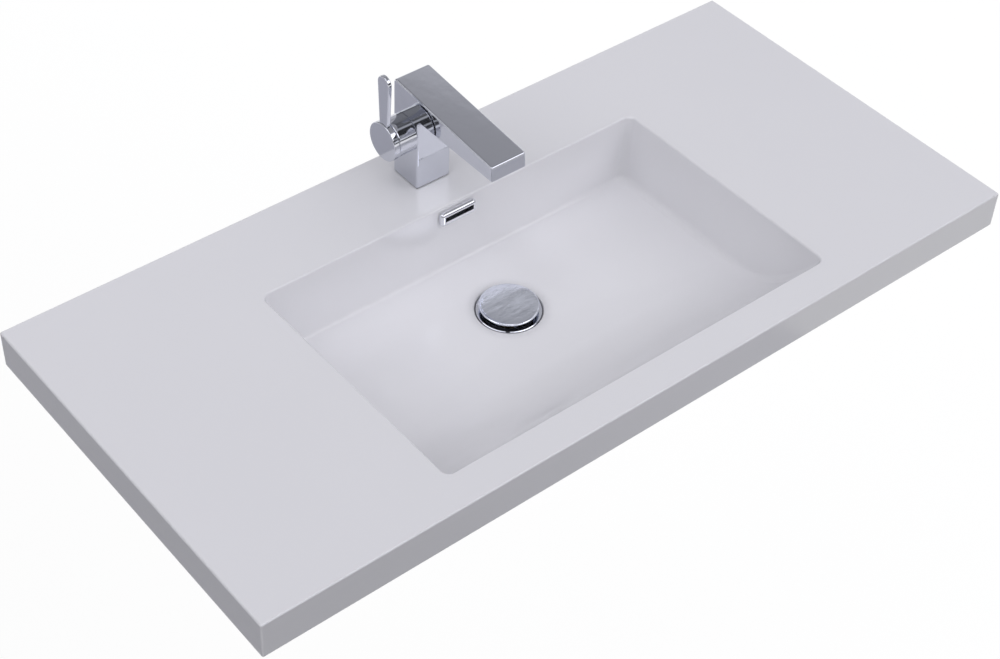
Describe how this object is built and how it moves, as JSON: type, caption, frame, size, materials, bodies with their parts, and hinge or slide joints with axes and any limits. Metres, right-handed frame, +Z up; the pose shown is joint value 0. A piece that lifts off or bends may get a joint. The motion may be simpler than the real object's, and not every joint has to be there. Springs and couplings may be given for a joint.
{
  "type": "vanity basin",
  "caption": "White one-piece cast vanity top with a rectangular bowl, a chrome side-lever mixer tap, an overflow and a press-to-open waste",
  "frame": {"origin": "the middle of the rear rail's underside, where the top rests on its cabinet", "axes": "+X to the right as seen from the front, +Y to the wall behind, +Z up"},
  "size_m": [1, 0.47, 0.325],
  "materials": {
    "gel_coat": "glossy white gel coat over a cast mineral body",
    "chrome": "polished chrome plate",
    "brass": "turned brass, unplated",
    "steel": "plain stainless steel",
    "rubber": "matt black rubber",
    "grey_plastic": "moulded grey acetal",
    "white_plastic": "moulded white plastic",
    "ceramic": "lapped alumina ceramic"
  },
  "bodies": {
    "basin": {"basin_casting": "gel_coat", "overflow_trim": "chrome", "overflow_sleeve": "rubber", "waste_body": "chrome", "flange_gasket": "rubber", "cone_gasket": "rubber", "waste_washer": "white_plastic", "waste_nut": "chrome", "clicker_barrel": "brass", "clicker_nut": "brass", "clicker_spring": "steel", "tap_body": "chrome", "aerator_housing": "chrome", "aerator_insert": "white_plastic", "aerator_washer": "rubber", "base_gasket": "rubber", "clamp_rubber": "rubber", "clamp_plate": "steel", "stud_nut": "brass", "fixing_stud": "steel", "hot_seal": "rubber", "cold_seal": "rubber", "outlet_seal": "rubber", "cartridge_base": "grey_plastic", "fixed_disc": "ceramic", "cartridge_housing": "grey_plastic", "cartridge_nut": "brass", "barrel_cover": "chrome"},
    "temperature_turn": {"swivel": "white_plastic", "spindle_pin": "steel"},
    "sliding_disc": {"moving_disc": "ceramic", "disc_carrier": "grey_plastic"},
    "lever": {"spindle": "steel", "handle_hub": "chrome", "lever_blade": "chrome", "grub_screw": "steel"},
    "plug": {"waste_cap": "chrome", "cap_seal": "rubber", "plunger": "brass"},
    "rotor": {"index_rotor": "grey_plastic"}
  },
  "joints": [
    {"name": "temp_turn", "type": "hinge", "parent": "basin", "child": "temperature_turn", "pos_m": [-0.026, -0.0435, 0.1155], "axis": [1, 0, 0], "range_deg": [-45, 45]},
    {"name": "flow_tilt", "type": "hinge", "parent": "temperature_turn", "child": "lever", "pos_m": [-0.026, -0.0435, 0.1155], "axis": [0, -1, 0], "range_deg": [0, 18]},
    {"name": "disc_slide", "type": "slide", "parent": "temperature_turn", "child": "sliding_disc", "axis": [0, 0, 1], "range_m": [0, 0.00235]},
    {"name": "plug_press", "type": "slide", "parent": "basin", "child": "plug", "axis": [0, 0, 1], "range_m": [-0.005, 0], "deforming": ["clicker_spring"]},
    {"name": "rotor_index", "type": "hinge", "parent": "plug", "child": "rotor", "pos_m": [0, -0.204, -0.061], "axis": [0, 0, 1], "range_deg": [-45, 0]}
  ],
  "couplings": [
    {"joint": "disc_slide", "follows": "flow_tilt", "m_per_rad": 0.0074756},
    {"joint": "rotor_index", "follows": "plug_press", "rad_per_m": 157}
  ]
}
